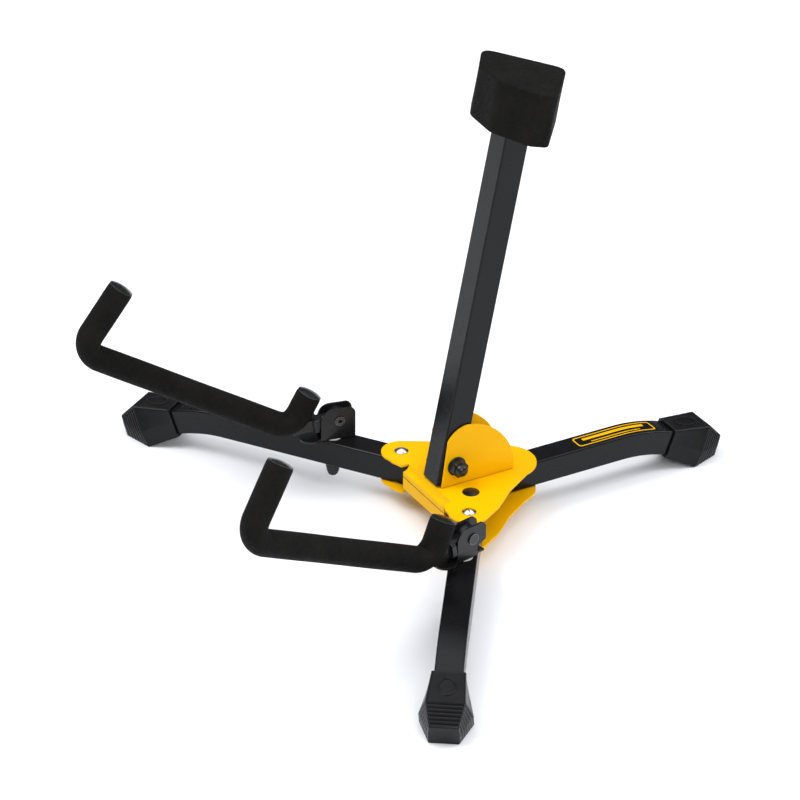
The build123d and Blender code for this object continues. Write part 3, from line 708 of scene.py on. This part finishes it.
def printed_strip(bm, edges):
    """Thin print from pairs of (along, y) points, with a closed edge down to the paint."""
    rows = [[bm.verts.new(SHIFT @ Vector(leg_top(u, y, lift)) * MM)
             for u, y, lift in ((*low, -0.05), (*low, 0.09), (*high, 0.09), (*high, -0.05))]
            for low, high in edges]
    for a, b in zip(rows, rows[1:]):
        for k in range(4):
            bm.faces.new((a[k], a[(k + 1) % 4], b[(k + 1) % 4], b[k]))
    bm.faces.new(rows[0])
    bm.faces.new(reversed(rows[-1]))


def build_label():
    """Generic print on the rear leg: a rounded frame around two plain bars."""
    bm = bmesh.new()
    near, far, half, line = 121.0, 187.0, 6.4, 1.1

    def outline(inset, radius):
        corners = [(near + inset, inset - half), (far - inset, inset - half),
                   (far - inset, half - inset), (near + inset, half - inset)]
        return [Vector(point) for point in rounded(corners, [radius] * 4, 8)]

    outer, inner = outline(0.0, 3.0), outline(line, 2.2)
    edges = []
    for i, (a, b) in enumerate(zip(outer, inner)):
        c, d = outer[(i + 1) % len(outer)], inner[(i + 1) % len(inner)]
        steps = max(1, int(abs(c.x - a.x) / 2))
        edges += [(a.lerp(c, k / steps), b.lerp(d, k / steps)) for k in range(steps)]
    printed_strip(bm, edges + edges[:1])
    for low, high, start, end in ((0.2, 3.4, 128.0, 180.0), (-3.6, -2.5, 133.0, 175.0)):
        steps = int((end - start) / 2)
        places = [start + (end - start) * k / steps for k in range(steps + 1)]
        printed_strip(bm, [((u, low), (u, high)) for u in places])
    bmesh.ops.recalc_face_normals(bm, faces=bm.faces)
    stand_in(finished("rear_leg_print", bm), "hub", "yellow_paint")


# ---------------------------------------------------------------- stage, light and camera
def floor():
    mesh = bpy.data.meshes.new("floor")
    mesh.from_pydata([(-9, -9, 0), (9, -9, 0), (9, 9, 0), (-9, 9, 0)], [], [(0, 1, 2, 3)])
    made = bpy.data.objects.new("floor", mesh)
    bpy.context.scene.collection.objects.link(made)
    s = Shader("pale_floor", (0.86, 0.87, 0.89), 0.7)
    s.color(s.mix(s.ramp(s.noise(2, 2), 0.3, 0.7), (0.86, 0.87, 0.89), (0.85, 0.86, 0.88)))
    mesh.materials.append(s.material)


def softbox(name, place, target, size, power, color=(1, 1, 1)):
    light = bpy.data.lights.new(name, "AREA")
    light.shape = "RECTANGLE"
    light.size, light.size_y = size
    light.energy = power
    light.color = color
    made = bpy.data.objects.new(name, light)
    bpy.context.scene.collection.objects.link(made)
    made.location = place
    aim = Vector(target) - Vector(place)
    made.rotation_euler = aim.to_track_quat("-Z", "Y").to_euler()


def studio():
    """A sky that brightens upwards, and three softboxes."""
    world = bpy.data.worlds.new("studio")
    bpy.context.scene.world = world
    world.use_nodes = True
    tree = world.node_tree
    background = tree.nodes["Background"]
    background.inputs["Color"].default_value = (0.94, 0.96, 1.0, 1.0)
    height = tree.nodes.new("ShaderNodeSeparateXYZ")
    tree.links.new(tree.nodes.new("ShaderNodeTexCoord").outputs["Generated"], height.inputs["Vector"])
    glow = tree.nodes.new("ShaderNodeMapRange")
    glow.interpolation_type = "SMOOTHSTEP"
    for key, value in (("From Min", 0.5), ("From Max", 0.9), ("To Min", 0.06), ("To Max", 1.9)):
        glow.inputs[key].default_value = value
    tree.links.new(height.outputs["Z"], glow.inputs["Value"])
    tree.links.new(glow.outputs["Result"], background.inputs["Strength"])
    softbox("key", (-1.6, 0.5, 2.6), (0, 0, 0.1), (1.6, 1.6), 50)
    softbox("fill", (-0.6, -2.6, 1.6), (0, 0, 0.1), (1.8, 1.2), 38)
    softbox("side", (2.2, -0.9, 1.6), (0, 0, 0.1), (1.0, 1.4), 26)


def camera():
    """The photograph's viewpoint and lens."""
    right = Vector((0.871, -0.4912, 0.0065))
    up = Vector((0.236, 0.4299, 0.8715))
    forward = Vector((0.4309, 0.7575, -0.4904)).normalized()
    right = (right - forward * right.dot(forward)).normalized()
    up = right.cross(forward)
    data = bpy.data.cameras.new("camera")
    data.sensor_fit = "HORIZONTAL"
    data.sensor_width = 36.0
    data.lens = 148.51
    data.clip_end = 50
    made = bpy.data.objects.new("camera", data)
    bpy.context.scene.collection.objects.link(made)
    rotation = Matrix((right, up, -forward)).transposed()
    made.matrix_world = Matrix.Translation((-1.05548, -1.7844, 1.2719)) @ rotation.to_4x4()
    bpy.context.scene.camera = made


floor()
studio()
camera()
build_feet()
build_arms()
build_pad()
build_rivets()
build_pivot_hardware()
build_bracket_caps()
build_label()
bpy.context.scene.view_settings.view_transform = "Standard"
